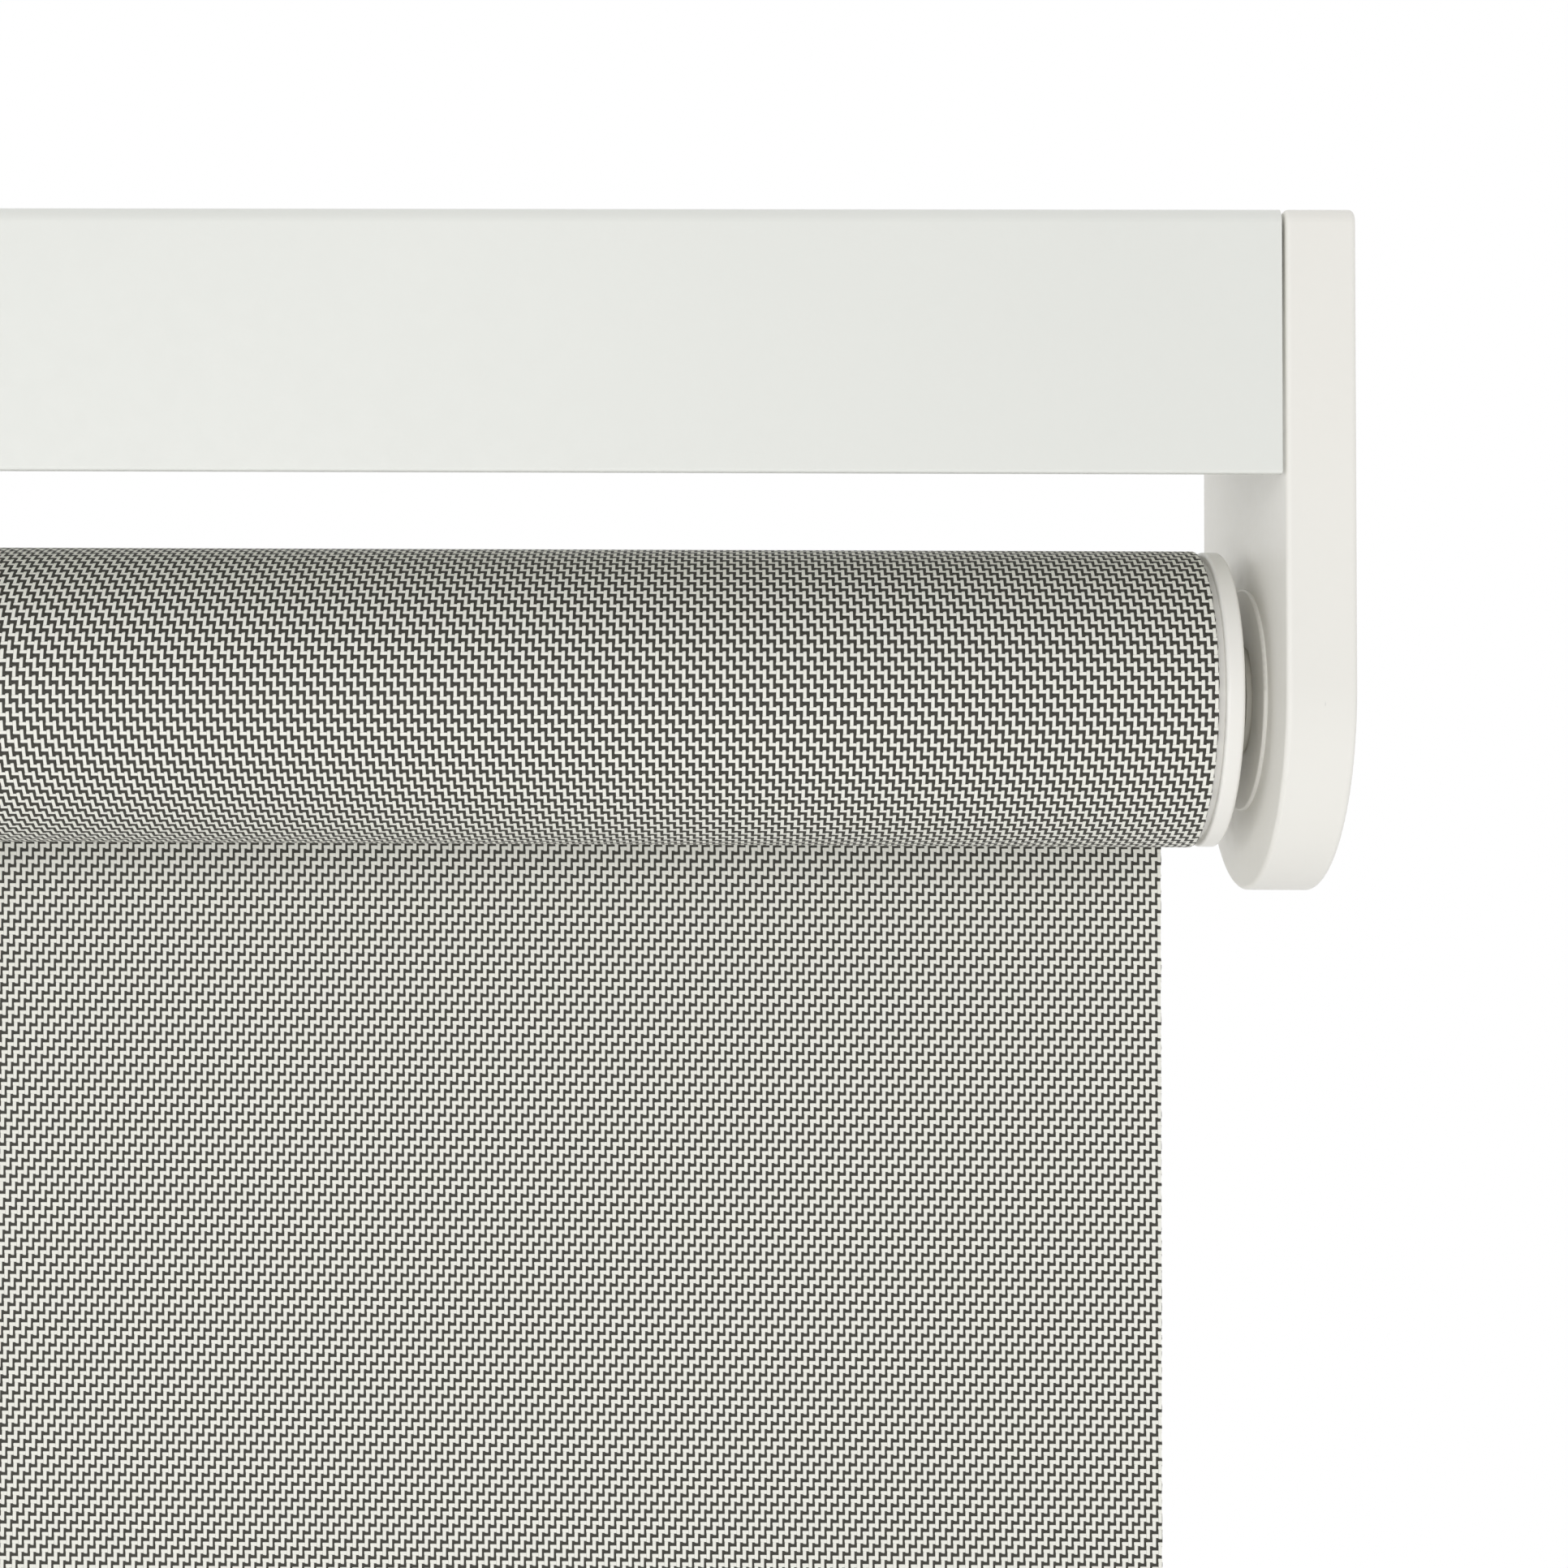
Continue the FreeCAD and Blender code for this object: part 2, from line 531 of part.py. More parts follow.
def rail_end_cap():
    """The moulded cap on the right-hand end of the bottom rail."""
    x0 = RAIL_LENGTH / 2
    cap = rail_outline(x0, x0 + END_CAP)
    cap = rounded(cap, END_CAP_EDGE, lambda b: b.XMin > x0 + END_CAP - TINY)
    return joined(cap, rail_cavity(x0 - END_SPIGOT, x0 + 0.5, 0.1))


def weight_bar():
    """The flat steel bar that keeps the cloth straight."""
    half = WEIGHT_LENGTH / 2
    z0 = RAIL_LOW_Z + RAIL_SKIN + 0.4
    y0 = PANEL_Y - WEIGHT_THICK / 2
    bar = box(-half, half, y0, y0 + WEIGHT_THICK, z0, z0 + WEIGHT_HEIGHT)
    return rounded(bar, WEIGHT_ROUND, lambda b: b.XLength > half)


def pull_handle():
    """The grip clipped under the middle of the bottom rail."""
    h = HANDLE_HALF
    saddle = rail_outline(-h, h, HANDLE_WALL)
    saddle = saddle.cut(box(-h, h, 0, 2 * PANEL_Y, RAIL_LOW_Z + HANDLE_GRIP, RAIL_TOP_Z + 1))
    saddle = saddle.cut(rail_outline(-h, h))
    low_z = RAIL_LOW_Z - HANDLE_WALL - HANDLE_DROP
    y0 = PANEL_Y - HANDLE_THICK / 2
    tab = box(-h, h, y0, y0 + HANDLE_THICK, low_z, RAIL_LOW_Z - HANDLE_WALL / 2)
    tab = rounded(tab, HANDLE_CORNER, lambda b: b.YLength > 1 and b.ZMax < low_z + TINY)
    half = h - HANDLE_CORNER
    roll = rod(HANDLE_ROLL_R, -half, half, PANEL_Y, low_z + HANDLE_ROLL_R)
    roll = rounded(roll, HANDLE_ROLL_END, lambda b: b.XLength < TINY)
    return joined(saddle, tab, roll)


def build_parts():
    """Every node's shape, by name."""
    bracket, cover, plate = end_bracket(), bracket_cover(), bracket_plate()
    clip, latch, spring = clip_body(), clip_latch(), latch_spring()
    cap = rail_end_cap()
    return {
        "headrail": headrail(),
        "end_bracket_right": bracket,
        "end_bracket_left": mirrored(bracket),
        "bracket_cover_right": cover,
        "bracket_cover_left": mirrored(cover),
        "bracket_plate_right": plate,
        "bracket_plate_left": mirrored(plate),
        "bracket_screws": bracket_screws(),
        "idler_bush": idler_bush(),
        "axle_socket": axle_socket(),
        "mounting_clip_right": clip,
        "mounting_clip_left": mirrored(clip),
        "clip_latch_right": latch,
        "clip_latch_left": mirrored(latch),
        "latch_spring_right": spring,
        "latch_spring_left": mirrored(spring),
        "roller_tube": roller_tube(),
        "cloth_spline": cloth_spline(),
        "fabric_roll": fabric_roll(),
        "fabric_panel": fabric_panel(),
        "idler_plug": idler_plug(),
        "idler_pin": idler_pin(),
        "idler_pin_spring": pin_spring(),
        "idler_pin_seat": pin_seat(),
        "drive_plug": drive_plug(),
        "drive_bush": drive_bush(),
        "spring_axle": spring_axle(),
        "brake_drum": brake_drum(),
        "brake_spring": brake_spring(),
        "torsion_spring": torsion_spring(),
        "spring_fixed_hub": fixed_hub(),
        "spring_drive_hub": drive_hub(),
        "bottom_rail": bottom_rail(),
        "hem_spline": hem_spline(),
        "rail_end_cap_right": cap,
        "rail_end_cap_left": mirrored(cap),
        "weight_bar": weight_bar(),
        "pull_handle": pull_handle(),
    }


def main():
    os.makedirs("parts", exist_ok=True)
    for name, shape in build_parts().items():
        shape.exportStep("parts/" + name + ".step")
        print(name, round(shape.Volume), "mm3")


main()
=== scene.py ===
"""The looks of the roller blind: its wound and hanging cloth, every material, lights and camera."""

import json
import math
import random

import bmesh
import bpy
from mathutils import Matrix, Vector


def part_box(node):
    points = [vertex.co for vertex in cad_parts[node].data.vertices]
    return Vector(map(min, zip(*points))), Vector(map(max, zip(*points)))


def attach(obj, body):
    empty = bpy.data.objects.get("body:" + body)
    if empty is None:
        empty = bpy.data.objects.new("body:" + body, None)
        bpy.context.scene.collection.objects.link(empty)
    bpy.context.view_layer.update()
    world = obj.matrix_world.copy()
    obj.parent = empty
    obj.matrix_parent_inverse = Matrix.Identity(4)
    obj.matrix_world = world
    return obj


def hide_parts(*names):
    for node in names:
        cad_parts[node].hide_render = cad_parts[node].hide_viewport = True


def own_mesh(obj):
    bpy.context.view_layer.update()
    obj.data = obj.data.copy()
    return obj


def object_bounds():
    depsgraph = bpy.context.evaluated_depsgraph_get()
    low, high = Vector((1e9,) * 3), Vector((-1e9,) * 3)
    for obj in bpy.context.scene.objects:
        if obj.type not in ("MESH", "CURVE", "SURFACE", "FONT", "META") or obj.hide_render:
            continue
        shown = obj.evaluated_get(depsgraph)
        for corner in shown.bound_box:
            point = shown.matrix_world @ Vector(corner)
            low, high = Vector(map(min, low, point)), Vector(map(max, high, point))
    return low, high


# Cloth, in metres.
CLOTH = 0.0008
WINDS = 3  # turns left on the tube when the blind is down
LAP = math.radians(24)  # angle over which a cloth end thins out on the turn below
FEATHER = 0.03  # share of the cloth's thickness left at a thinned end
WARP_PITCH = 0.000535
WEFT_PITCH = 0.000715
FRAY = 0.00009  # how far a cut yarn end strays from the cloth's edge
EDGE_BAND = 0.003  # width of the faces along each cut edge
HEM_INSET = 0.0028  # how far the hem's ends stop short, clear of the rail's end caps
HEM_DEPTH = 0.0066  # cloth held inside the bottom rail
HEM_STEP = HEM_DEPTH / 40  # height over which the cloth narrows to its hem
FOOT_GAP = CLOTH / 4  # between the full-width cloth and the bottom rail
PLACES = 4  # points across the cloth at each station
ROW = 2 * PLACES  # the same, on both of its faces
SHARP = math.radians(50)  # cloth edges turned further than this stay crisp

# Weave. A yarn's height is its section, up to 1 at its middle, plus its crimp, from -1 under a
# crossing yarn to 1 over it, plus its lift.
YARN_SQUARENESS = 3.0  # 2 is a round yarn; more is a flatter one
WARP_LIFT = {"white": 0.8, "charcoal": 0.1}
WEFT_LIFT = {"white": 0.35, "charcoal": 0.0}
OPEN_SIDE = (-0.1, 0.5)  # heights of a yarn's section over which painted shade fades out, from near-black where it is hidden between the yarns to fully lit
OPEN_END = (-0.9, 0.1)  # the same for its crimp
WARP_TOP = {"face": 3.0, "reverse": 1.0}  # where, in the repeat of four, a float is highest
WEFT_TOP = {"face": 1.0, "reverse": 3.0}

# Camera, matched to the viewing angle of the reference view.
CAMERA_PLACE = (0.2014, -0.4003, -0.1002)
CAMERA_PITCH = math.radians(1.96)
CAMERA_YAW = math.radians(-0.82)
CAMERA_ROLL = math.radians(0.29)
CAMERA_LENS = 54.3
CAMERA_SENSOR = 36.0
CAMERA_SHIFT = (0.0602, -0.0136)
NEAR_CLIP = 0.01

# Stage.
LIGHTS = {  # place, the point it aims at, its side, and its power in watts
    "key": ((-0.45, -2.0, -0.2), (0.2, 0.0, -0.2), 1.4, 13.0),
    "side": ((-1.7, -1.4, -0.1), (0.2, 0.0, -0.15), 1.2, 8.0),
    "fill": ((1.5, -1.0, -0.4), (0.1, 0.0, -0.2), 1.2, 3.0),
}
WALL_LIGHT = 0.5  # the walls in front of the blind, against 1 for the backdrop behind it
WALL_TO_BACKDROP = (-0.5, 0.2)  # directions, along Y, where the one fades into the other
FLOOR_DROP = 0.8  # floor below the blind's lowest point
FLOOR_HALF = 3.5
FLOOR_PAINT = ((0.86, 0.86, 0.86, 1.0), (0.9, 0.9, 0.9, 1.0))


# --- Material nodes ------------------------------------------------------------------------------


class Graph:
    """One material's node tree, with a short call for each kind of node."""

    def __init__(self, name, rough=0.5, **constants):
        self.material = bpy.data.materials.new(name)
        self.material.use_nodes = True
        self.tree = self.material.node_tree
        self.shader = self.tree.nodes["Principled BSDF"]
        self.set(Roughness=rough, **constants)

    def node(self, kind, **settings):
        made = self.tree.nodes.new(kind)
        for key, value in settings.items():
            setattr(made, key, value)
        return made

    def feed(self, socket, value):
        """Links a socket to another node's output, or sets it to a constant."""
        if isinstance(value, bpy.types.NodeSocket):
            self.tree.links.new(value, socket)
        else:
            socket.default_value = value

    def set(self, **inputs):
        """Feeds the shader's sockets, named with underscores for spaces."""
        for name, value in inputs.items():
            self.feed(self.shader.inputs[name.replace("_", " ")], value)

    def math(self, operation, *values):
        made = self.node("ShaderNodeMath", operation=operation)
        for socket, value in zip(made.inputs, values):
            self.feed(socket, value)
        return made.outputs[0]

    def mix(self, factor, first, second, blend="MIX"):
        made = self.node("ShaderNodeMix", data_type="RGBA", blend_type=blend)
        for index, value in ((0, factor), (6, first), (7, second)):
            self.feed(made.inputs[index], value)
        return made.outputs[2]

    def ramp(self, value, low, high, to_low=0.0, to_high=1.0):
        """Maps low..high onto to_low..to_high with an eased curve."""
        made = self.node("ShaderNodeMapRange", interpolation_type="SMOOTHSTEP")
        for index, number in enumerate((value, low, high, to_low, to_high)):
            self.feed(made.inputs[index], number)
        return made.outputs[0]

    def place(self, kind="Object"):
        return self.node("ShaderNodeTexCoord").outputs[kind]

    def split(self, vector):
        made = self.node("ShaderNodeSeparateXYZ")
        self.feed(made.inputs[0], vector)
        return made.outputs

    def stretched(self, vector, scale):
        made = self.node("ShaderNodeMapping")
        self.feed(made.inputs["Vector"], vector)
        made.inputs["Scale"].default_value = scale
        return made.outputs[0]

    def noise(self, vector, scale, detail=2.0):
        made = self.node("ShaderNodeTexNoise")
        self.feed(made.inputs["Vector"], vector)
        made.inputs["Scale"].default_value = scale
        made.inputs["Detail"].default_value = detail
        return made.outputs[0]

    def specks(self, vector, scale, size):
        """A sparse scatter of dots, one cell in five, 1 inside a dot and 0 elsewhere."""
        made = self.node("ShaderNodeTexVoronoi")
        self.feed(made.inputs["Vector"], vector)
        made.inputs["Scale"].default_value = scale
        dot = self.math("LESS_THAN", made.outputs["Distance"], size)
        chosen = self.math("GREATER_THAN", self.split(made.outputs["Color"])[0], 0.8)
        return self.math("MULTIPLY", dot, chosen)

    def either(self, choice, first, second):
        """The first value where choice is 1 and the second where it is 0."""
        return self.math("MULTIPLY_ADD", choice, self.math("SUBTRACT", first, second), second)

    def bump(self, height, distance, strength=1.0):
        made = self.node("ShaderNodeBump")
        made.inputs["Strength"].default_value = strength
        made.inputs["Distance"].default_value = distance
        self.feed(made.inputs["Height"], height)
        return made.outputs[0]

    def edge(self, radius):
        """1 close to a sharp edge and 0 on the flat, from how far a rounded normal leans off the face."""
        soft = self.node("ShaderNodeBevel", samples=4)
        soft.inputs["Radius"].default_value = radius
        dot = self.node("ShaderNodeVectorMath", operation="DOT_PRODUCT")
        self.feed(dot.inputs[0], soft.outputs[0])
        self.feed(dot.inputs[1], self.node("ShaderNodeNewGeometry").outputs["Normal"])
        return self.ramp(dot.outputs["Value"], 0.98, 0.85)


def shade(colour, factor):
    """A colour as RGBA, scaled by factor."""
    return tuple(min(1.0, c * factor) for c in colour) + (1.0,)


def powder_coat(name, colour):
    """Satin powder coat: soft orange peel, faint cloudiness, a few dust specks, and a little painted
    shade along sharp edges and creases.
    """
    g = Graph(name, Coat_Weight=0.12, Coat_Roughness=0.3)
    place = g.place()
    cloud = g.noise(place, scale=9, detail=3)
    peel = g.noise(place, scale=1500)
    sheen = g.noise(place, scale=420)
    dust = g.specks(place, scale=60, size=0.018)
    tint = g.mix(cloud, shade(colour, 0.975), shade(colour, 1.02))
    tint = g.mix(g.math("MULTIPLY", dust, 0.4), tint, shade(colour, 0.5))
    # Painted shade: the colour darkens a little along sharp edges and creases.
    tint = g.mix(g.math("MULTIPLY", g.edge(0.0006), 0.3), tint, shade(colour, 0.9))
    g.set(Base_Color=tint, Roughness=g.ramp(sheen, 0.3, 0.7, 0.36, 0.48))
    g.set(Normal=g.bump(peel, distance=0.00004, strength=0.35))
    return g.material


def moulded_plastic(name, colour, rough, grain, marks=0.25):
    """Moulded plastic: fine spark-eroded grain, slight flow mottling and a few dark scuffs."""
    g = Graph(name)
    place = g.place()
    flow = g.noise(g.stretched(place, (0.5, 1.0, 0.35)), scale=28, detail=3)
    fine = g.noise(place, scale=2600)
    sheen = g.noise(place, scale=700)
    scratches = g.noise(g.stretched(place, (1.0, 0.25, 0.25)), scale=900)
    patches = g.noise(place, scale=45)
    specks = g.specks(place, scale=75, size=0.02)
    scuff = g.math("MULTIPLY", g.ramp(scratches, 0.74, 0.8), g.ramp(patches, 0.56, 0.68))
    worn = g.math("MULTIPLY", g.math("MAXIMUM", scuff, specks), marks)
    tint = g.mix(flow, shade(colour, 0.965), shade(colour, 1.02))
    tint = g.mix(worn, tint, shade(colour, 0.25))
    g.set(Base_Color=tint, Roughness=g.ramp(sheen, 0.3, 0.7, rough - 0.05, rough + 0.06))
    g.set(Normal=g.bump(fine, distance=0.00003, strength=grain))
    return g.material


def plated_steel(name, colour, rough):
    """Zinc-plated steel: a faint yellow and blue passivation over rolling marks and scratches."""
    g = Graph(name, Metallic=1.0)
    place = g.place()
    bloom = g.noise(place, scale=60, detail=3)
    rolled = g.noise(g.stretched(place, (0.03, 1.0, 1.0)), scale=3000)
    dull = g.noise(place, scale=35, detail=4)
    red, green, blue = colour
    tint = g.mix(bloom, shade((1.04 * red, green, 0.9 * blue), 1.0), shade(colour, 1.05))
    tint = g.mix(g.ramp(bloom, 0.55, 0.75, 0.0, 0.3), tint, shade(colour, 0.75))
    g.set(Base_Color=tint, Roughness=g.ramp(dull, 0.3, 0.75, rough - 0.08, rough + 0.14))
    g.set(Normal=g.bump(rolled, distance=0.00003, strength=0.4))
    return g.material


def spring_wire(name, colour):
    """Drawn and oiled spring wire: dark, with fine draw marks and brown staining."""
    g = Graph(name, Metallic=1.0)
    place = g.place()
    stain = g.ramp(g.noise(place, scale=160, detail=3), 0.45, 0.7)
    drawn = g.noise(g.stretched(place, (1.0, 0.2, 0.2)), scale=5000)
    red, green, blue = colour
    tint = g.mix(stain, shade(colour, 1.0), shade((red, 0.82 * green, 0.62 * blue), 0.8))
    g.set(Base_Color=tint, Roughness=g.ramp(stain, 0.0, 1.0, 0.28, 0.5))
    g.set(Normal=g.bump(drawn, distance=0.00002, strength=0.4))
    return g.material


def extruded_aluminium(name, colour):
    """Mill-finish aluminium with die lines along the blind and a dull, cloudy oxide."""
    g = Graph(name, Metallic=1.0)
    place = g.place()
    lines = g.noise(g.stretched(place, (0.01, 1.0, 1.0)), scale=2200, detail=3)
    cloud = g.noise(place, scale=22, detail=3)
    tint = g.mix(cloud, shade(colour, 0.9), shade(colour, 1.05))
    g.set(Base_Color=tint, Roughness=g.ramp(cloud, 0.3, 0.7, 0.3, 0.45))
    g.set(Normal=g.bump(lines, distance=0.00004, strength=0.5))
    return g.material


# --- Weave ---------------------------------------------------------------------------------------


def yarns(g, along, pitch, white_share):
    """Cuts a coordinate into yarns, white and charcoal in turn.

    Returns whether the yarn is charcoal, its number, and the place across it from 0 to 1."""
    pair = g.math("DIVIDE", along, 2 * pitch)
    part = g.math("FRACT", pair)
    dark = g.math("GREATER_THAN", part, white_share)
    offset = g.math("SUBTRACT", part, g.math("MULTIPLY", dark, white_share))
    width = g.math("MULTIPLY_ADD", dark, 1 - 2 * white_share, white_share)
    number = g.math("MULTIPLY_ADD", g.math("FLOOR", pair), 2.0, dark)
    return dark, number, g.math("DIVIDE", offset, width)


def rounding(g, across, fill):
    """A yarn's section: 1 at its middle and below 0 past its side. It fills a share of its pitch."""
    side = g.math("DIVIDE", g.math("ABSOLUTE", g.math("MULTIPLY_ADD", across, 2.0, -1.0)), fill)
    return g.math("MULTIPLY_ADD", g.math("POWER", side, YARN_SQUARENESS), -1.0, 1.0)


def crimp(g, number, other_number, other_across, top):
    """How high a yarn rides at a place along it: it floats over two crossing yarns and under two."""
    phase = g.math("ADD", number, g.math("ADD", other_number, other_across))
    return g.math("COSINE", g.math("MULTIPLY", g.math("SUBTRACT", phase, top), math.pi / 2))


def yarn_height(g, section, crimped, dark, lift):
    """A yarn's height at a place. The white yarns are the fatter ones and ride higher."""
    raised = g.math("MULTIPLY_ADD", dark, lift["charcoal"] - lift["white"], lift["white"])
    return g.math("ADD", g.math("ADD", section, crimped), raised)


def screen_cloth(name, across, along, side, weave, white, charcoal):
    """Two-by-two twill of white and charcoal yarns in turn, both ways: it shows as a stepped line.
    Painted shade darkens it to near-black between the yarns and where a yarn dives under a crossing one.

    across and along pick the coordinates; side is face, the room side, or reverse."""
    g = Graph(name, Specular_IOR_Level=0.25)
    u, v = across(g), along(g)
    warp_dark, warp, warp_across = yarns(g, u, WARP_PITCH, weave["warp_share"])
    weft_dark, weft, weft_across = yarns(g, v, WEFT_PITCH, weave["weft_share"])
    warp_section = rounding(g, warp_across, 1.0)
    weft_section = rounding(g, weft_across, weave["weft_fill"])
    warp_crimp = crimp(g, warp, weft, weft_across, WARP_TOP[side])
    weft_crimp = crimp(g, weft, warp, warp_across, WEFT_TOP[side])
    warp_high = yarn_height(g, warp_section, warp_crimp, warp_dark, WARP_LIFT)
    weft_high = yarn_height(g, weft_section, weft_crimp, weft_dark, WEFT_LIFT)
    warp_shows = g.math("GREATER_THAN", warp_high, weft_high)
    dark = g.either(warp_shows, warp_dark, weft_dark)
    open_side = g.ramp(g.either(warp_shows, warp_section, weft_section), *OPEN_SIDE)
    open_end = g.ramp(g.either(warp_shows, warp_crimp, weft_crimp), *OPEN_END)
    # Painted shade: how dark the weave is painted between the yarns and where a yarn dives under a
    # crossing one.
    lit = g.math("MULTIPLY", open_side, open_end)
    painted_gap_shade = g.math("MULTIPLY_ADD", lit, -weave["gap_shade_depth"], weave["gap_shade_depth"])

    plane = g.node("ShaderNodeCombineXYZ")
    g.feed(plane.inputs[0], u)
    g.feed(plane.inputs[1], v)
    slub = g.noise(plane.outputs[0], scale=420)
    cloud = g.noise(plane.outputs[0], scale=14)
    light = g.mix(slub, shade(white, 0.94), shade(white, 1.05))
    deep = g.mix(slub, shade(charcoal, 0.75), shade(charcoal, 1.3))
    # Painted shade: near-black charcoal where the weave is shaded.
    tone = g.mix(painted_gap_shade, g.mix(dark, light, deep), shade(charcoal, 0.05))
    tone = g.mix(cloud, tone, (0.97, 0.97, 0.965, 1.0), "MULTIPLY")
    height = g.math("MAXIMUM", warp_high, weft_high)
    g.set(Base_Color=tone, Roughness=g.ramp(slub, 0.3, 0.7, 0.5, 0.62))
    g.set(Normal=g.bump(height, distance=0.00005, strength=0.4))
    return g.material


def object_axis(index):
    """A coordinate in the row frame, which stays put as the cloth shortens."""
    return lambda g: g.split(g.place("Object"))[index]


def map_axis(index):
    """A coordinate of the cloth's own map, in metres."""
    return lambda g: g.split(g.place("UV"))[index]


# --- Cloth ---------------------------------------------------------------------------------------


class Strip:
    """A row of stations along a band of cloth, each with its place, thickness and half width."""

    def __init__(self):
        self.centres, self.normals, self.thick, self.half = [], [], [], []

    def add(self, centre, normal, half, thick=CLOTH):
        self.centres.append(Vector(centre))
        self.normals.append(Vector(normal))
        self.half.append(half)
        self.thick.append(thick)

    def lengths(self):
        """Distance along the cloth to each station."""
        total, found = 0.0, [0.0]
        for a, b in zip(self.centres, self.centres[1:]):
            total += (b - a).length
            found.append(total)
        return found


def columns(half, rng):
    """Places across the cloth: the two frayed edges and a narrow band inside each."""
    left, right = (half + rng.uniform(-FRAY, FRAY) for _ in range(2))
    inner = half - EDGE_BAND
    return (-left, -inner, inner, right)


def cloth_mesh(name, strip, materials, seed):
    """A closed band of cloth: outer face, inner face, cut edges and ends, mapped in metres."""
    rng = random.Random(seed)
    lengths = strip.lengths()
    verts, maps = [], []
    for centre, normal, half, thick, along in zip(
        strip.centres, strip.normals, strip.half, strip.thick, lengths
    ):
        places = columns(half, rng)
        for side in (0.5, -0.5):
            for x in places:
                verts.append(Vector((x, centre.y, centre.z)) + normal * side * thick)
                maps.append((x, along))
    faces, slots = [], []
    for row in range(len(lengths) - 1):
        a, b = ROW * row, ROW * (row + 1)
        for c in range(PLACES - 1):
            faces.append((a + c, a + c + 1, b + c + 1, b + c))
            faces.append((a + PLACES + c, b + PLACES + c, b + PLACES + c + 1, a + PLACES + c + 1))
            slots += [0, 1]
        faces.append((a + PLACES - 1, a + ROW - 1, b + ROW - 1, b + PLACES - 1))
        faces.append((a, b, b + PLACES, a + PLACES))
        slots += [row % 2, row % 2]  # the cut edges show yarns of either face, in turn
    last = ROW * (len(lengths) - 1)
    for c in range(PLACES - 1):
        faces.append((c, c + PLACES, c + PLACES + 1, c + 1))
        faces.append((last + c, last + c + 1, last + c + PLACES + 1, last + c + PLACES))
        slots += [0, 0]
    return mesh_piece(name, verts, faces, slots, maps, materials)


def mesh_piece(name, verts, faces, slots, maps, materials):
    """An object from its vertices, faces, face materials and map."""
    mesh = bpy.data.meshes.new(name)
    mesh.from_pydata(verts, [], faces)
    for polygon, slot in zip(mesh.polygons, slots):
        polygon.material_index = slot
        polygon.use_smooth = True
    work = bmesh.new()
    work.from_mesh(mesh)
    bmesh.ops.recalc_face_normals(work, faces=work.faces)
    work.to_mesh(mesh)
    work.free()
    mesh.set_sharp_from_angle(angle=SHARP)
    for material in materials:
        mesh.materials.append(material)
    layer = mesh.uv_layers.new(name="UVMap")
    for loop in mesh.loops:
        layer.data[loop.index].uv = maps[loop.vertex_index]
    piece = bpy.data.objects.new(name, mesh)
    bpy.context.scene.collection.objects.link(piece)
    return piece


def eased(value):
    """0 to 1 with a smooth start and end."""
    value = max(0.0, min(1.0, value))
    return value * value * (3 - 2 * value)


def wound_strip(axis, tube_r, roll_r, half):
    """The turns left on the tube. The outer end thins out at the back, and the turn below rises there."""
    strip = Strip()
    layer = (roll_r - tube_r) / WINDS
    step = WEFT_PITCH / roll_r
    count = int(WINDS * math.tau / step)
    for i in range(count + 1):
        angle = i * step
        turn = angle / math.tau
        drop = math.floor(turn) + eased((angle % math.tau - math.tau + LAP) / LAP)
        radius = roll_r - layer * (drop + 0.5)
        thick = CLOTH * (FEATHER + (1 - FEATHER) * eased(angle / LAP))
        radius += (CLOTH - thick) / 2
        out = Vector((0.0, math.cos(angle), math.sin(angle)))
        strip.add(Vector(axis) + out * radius, out, half, thick)
    return strip


def hanging_strip(axis, roll_r, plane_y, foot_z, half, hem_half):
    """The hanging cloth: it leaves the back of the roll, hangs straight, and ends in the rail."""
    strip = Strip()
    touch = roll_r + CLOTH / 2
    steps = int(LAP * roll_r / WEFT_PITCH)
    for i in range(steps):
        angle = LAP * (1 - i / steps)
        clear = (plane_y - touch) * (1 - angle / LAP) ** 2
        thick = CLOTH * (FEATHER + (1 - FEATHER) * eased(1 - angle / LAP))
        out = Vector((0.0, math.cos(angle), math.sin(angle)))
        strip.add(Vector(axis) + out * (touch + clear - (CLOTH - thick) / 2), out, half, thick)
    back = Vector((0.0, 1.0, 0.0))
    rows = int((axis[2] - foot_z) / WEFT_PITCH)
    for i in range(rows + 1):
        z = axis[2] + (foot_z - axis[2]) * i / rows
        strip.add((0.0, plane_y, z), back, half)
    strip.add((0.0, plane_y, foot_z - HEM_STEP), back, hem_half)
    strip.add((0.0, plane_y, foot_z - HEM_DEPTH), back, hem_half)
    return strip


def flat_size(strip):
    """The size of the cut cloth, in metres."""
    return 2 * strip.half[0], strip.lengths()[-1]


# --- Stage ---------------------------------------------------------------------------------------


def soft_light(name, place, target, size, power):
    """A square area light aimed at a point."""
    light = bpy.data.lights.new(name, "AREA")
    light.energy, light.size = power, size
    lamp = bpy.data.objects.new(name, light)
    lamp.location = place
    lamp.rotation_euler = (Vector(target) - Vector(place)).to_track_quat("-Z", "Y").to_euler()
    bpy.context.scene.collection.objects.link(lamp)


def floor(z):
    """A wide pale floor below the blind."""
    half = FLOOR_HALF
    verts = [(-half, -half, z), (half, -half, z), (half, half, z), (-half, half, z)]
    mesh = bpy.data.meshes.new("floor")
    mesh.from_pydata(verts, [], [(0, 1, 2, 3)])
    g = Graph("floor_paint", rough=0.7)
    g.set(Base_Color=g.mix(g.noise(g.place(), scale=1.5, detail=3), *FLOOR_PAINT))
    mesh.materials.append(g.material)
    plane = bpy.data.objects.new("floor", mesh)
    bpy.context.scene.collection.objects.link(plane)


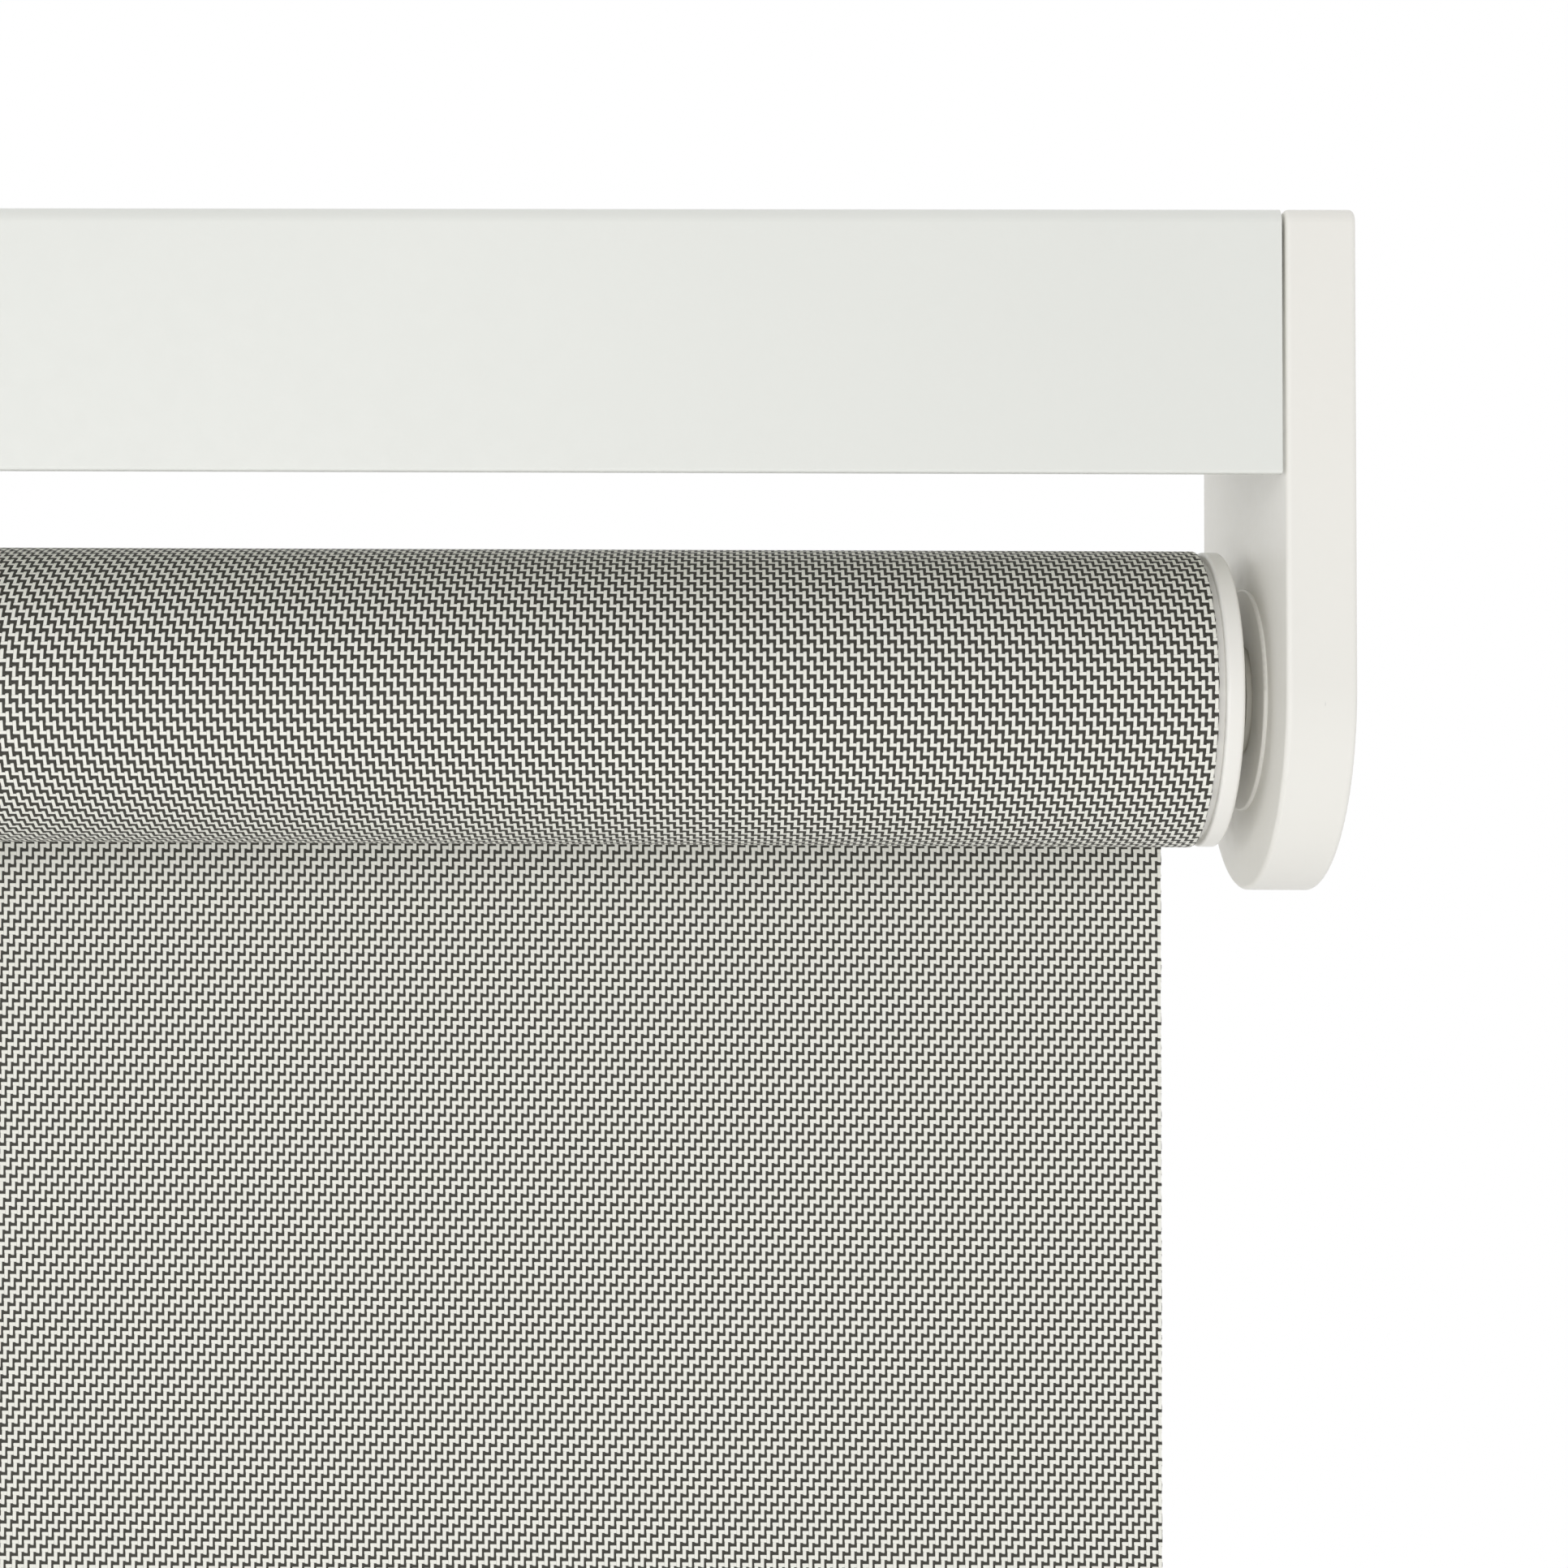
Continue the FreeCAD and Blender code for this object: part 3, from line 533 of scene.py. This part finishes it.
def white_surround():
    """A white studio: a bright backdrop behind the blind, and dimmer walls in front of it."""
    world = bpy.data.worlds.new("surround")
    world.use_nodes = True
    tree = world.node_tree
    background = tree.nodes["Background"]
    place = tree.nodes.new("ShaderNodeTexCoord")
    split = tree.nodes.new("ShaderNodeSeparateXYZ")
    fade = tree.nodes.new("ShaderNodeMapRange")
    fade.interpolation_type = "SMOOTHSTEP"
    fade.inputs["From Min"].default_value = WALL_TO_BACKDROP[0]
    fade.inputs["From Max"].default_value = WALL_TO_BACKDROP[1]
    fade.inputs["To Min"].default_value = WALL_LIGHT
    fade.inputs["To Max"].default_value = 1.0
    tree.links.new(place.outputs["Generated"], split.inputs[0])
    tree.links.new(split.outputs["Y"], fade.inputs["Value"])
    tree.links.new(fade.outputs[0], background.inputs["Strength"])
    background.inputs["Color"].default_value = (1.0, 1.0, 1.0, 1.0)
    bpy.context.scene.world = world
    bpy.context.scene.view_settings.view_transform = "Standard"


def camera():
    """The camera, level but for a slight upward tilt, near the blind's right-hand end."""
    lens = bpy.data.cameras.new("camera")
    lens.lens, lens.sensor_width = CAMERA_LENS, CAMERA_SENSOR
    lens.shift_x, lens.shift_y = CAMERA_SHIFT
    lens.clip_start = NEAR_CLIP
    forward = Vector(
        (
            math.sin(CAMERA_YAW) * math.cos(CAMERA_PITCH),
            math.cos(CAMERA_YAW) * math.cos(CAMERA_PITCH),
            math.sin(CAMERA_PITCH),
        )
    )
    level = Vector((math.cos(CAMERA_YAW), -math.sin(CAMERA_YAW), 0.0))
    right = Matrix.Rotation(-CAMERA_ROLL, 3, forward) @ level
    up = right.cross(forward)
    turn = Matrix((right, up, -forward)).transposed().to_4x4()
    place = bpy.data.objects.new("camera", lens)
    place.matrix_world = Matrix.Translation(CAMERA_PLACE) @ turn
    bpy.context.scene.collection.objects.link(place)
    bpy.context.scene.camera = place


# --- The blind -----------------------------------------------------------------------------------


def finishes():
    """One material for each of the record's hard slots."""
    return {
        "headrail_paint": powder_coat("headrail_paint", (0.80, 0.81, 0.77)),
        "rail_paint": powder_coat("rail_paint", (0.80, 0.81, 0.77)),
        "bracket_white": moulded_plastic("bracket_white", (0.86, 0.845, 0.795), 0.42, 0.3),
        "plug_white": moulded_plastic("plug_white", (0.91, 0.895, 0.85), 0.36, 0.15, 0.6),
        "bush_plastic": moulded_plastic("bush_plastic", (0.78, 0.76, 0.68), 0.4, 0.2),
        "latch_plastic": moulded_plastic("latch_plastic", (0.08, 0.085, 0.09), 0.45, 0.5),
        "handle_white": moulded_plastic("handle_white", (0.86, 0.85, 0.82), 0.26, 0.12),
        "zinc_steel": plated_steel("zinc_steel", (0.62, 0.63, 0.64), 0.32),
        "spring_steel": spring_wire("spring_steel", (0.42, 0.42, 0.43)),
        "mill_aluminium": extruded_aluminium("mill_aluminium", (0.72, 0.73, 0.74)),
    }


def paint_nodes(frame, made):
    """Gives each CAD node its slot's finish."""
    for part in frame["record"]["subparts"]:
        if part["material_slot"] not in made:
            continue
        mesh = frame["nodes"][part["node"]].data
        mesh.materials.clear()
        mesh.materials.append(made[part["material_slot"]])


def cloth_faces():
    """The cloth's room face and its reverse, mapped for the roll and for the hanging part."""
    white, charcoal = (0.885, 0.878, 0.81), (0.052, 0.05, 0.041)
    weaves = {
        # The last number in each weave is how deep the painted shade between the yarns goes.
        "face": {"warp_share": 0.61, "weft_share": 0.54, "weft_fill": 0.9, "gap_shade_depth": 0.85},
        "reverse": {"warp_share": 0.54, "weft_share": 0.5, "weft_fill": 0.78, "gap_shade_depth": 0.9},
    }

    def made(name, across, along, side):
        return screen_cloth(name, across, along, side, weaves[side], white, charcoal)

    x, z = object_axis(0), object_axis(2)
    return {
        "hanging_face": made("cloth_face", x, z, "face"),
        "hanging_reverse": made("cloth_reverse", x, z, "reverse"),
        "wound_face": made("cloth_face_wound", map_axis(0), map_axis(1), "face"),
        "wound_reverse": made("cloth_reverse_wound", map_axis(0), map_axis(1), "reverse"),
    }


def add_cloth():
    """Replaces the CAD's plain cloth solids."""
    tube_low, tube_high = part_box("roller_tube")
    roll_low, roll_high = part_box("fabric_roll")
    panel_low, panel_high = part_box("fabric_panel")
    rail_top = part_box("bottom_rail")[1].z
    axis = (0.0, (roll_low.y + roll_high.y) / 2, (roll_low.z + roll_high.z) / 2)
    tube_r, roll_r = (tube_high.y - tube_low.y) / 2, (roll_high.y - roll_low.y) / 2
    half = roll_high.x - FRAY
    faces = cloth_faces()

    wound = wound_strip(axis, tube_r, roll_r, half)
    roll = cloth_mesh("wound_cloth", wound, [faces["wound_reverse"], faces["wound_face"]], 1)
    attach(roll, "roller")
    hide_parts("fabric_roll")
    flat_size(wound)

    plane_y = (panel_low.y + panel_high.y) / 2
    foot_z = rail_top + FOOT_GAP
    hung = hanging_strip(axis, roll_r, plane_y, foot_z, half, half - HEM_INSET)
    faces_back_first = [faces["hanging_reverse"], faces["hanging_face"]]
    panel = cloth_mesh("hanging_cloth", hung, faces_back_first, 2)
    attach(panel, "frame")
    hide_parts("fabric_panel")
    flat_size(hung)
    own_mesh(panel)


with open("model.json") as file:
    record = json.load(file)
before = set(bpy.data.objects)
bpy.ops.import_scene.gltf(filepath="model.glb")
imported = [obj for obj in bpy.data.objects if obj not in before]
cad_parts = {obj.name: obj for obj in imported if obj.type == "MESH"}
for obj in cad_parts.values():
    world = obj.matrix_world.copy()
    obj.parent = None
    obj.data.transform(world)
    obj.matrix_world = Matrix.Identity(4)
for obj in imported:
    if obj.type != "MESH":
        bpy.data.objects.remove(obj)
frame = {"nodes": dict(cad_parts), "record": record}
cad_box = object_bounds()

paint_nodes(frame, finishes())
add_cloth()
floor(cad_box[0].z - FLOOR_DROP)
white_surround()
for name, setting in LIGHTS.items():
    soft_light(name, *setting)
camera()
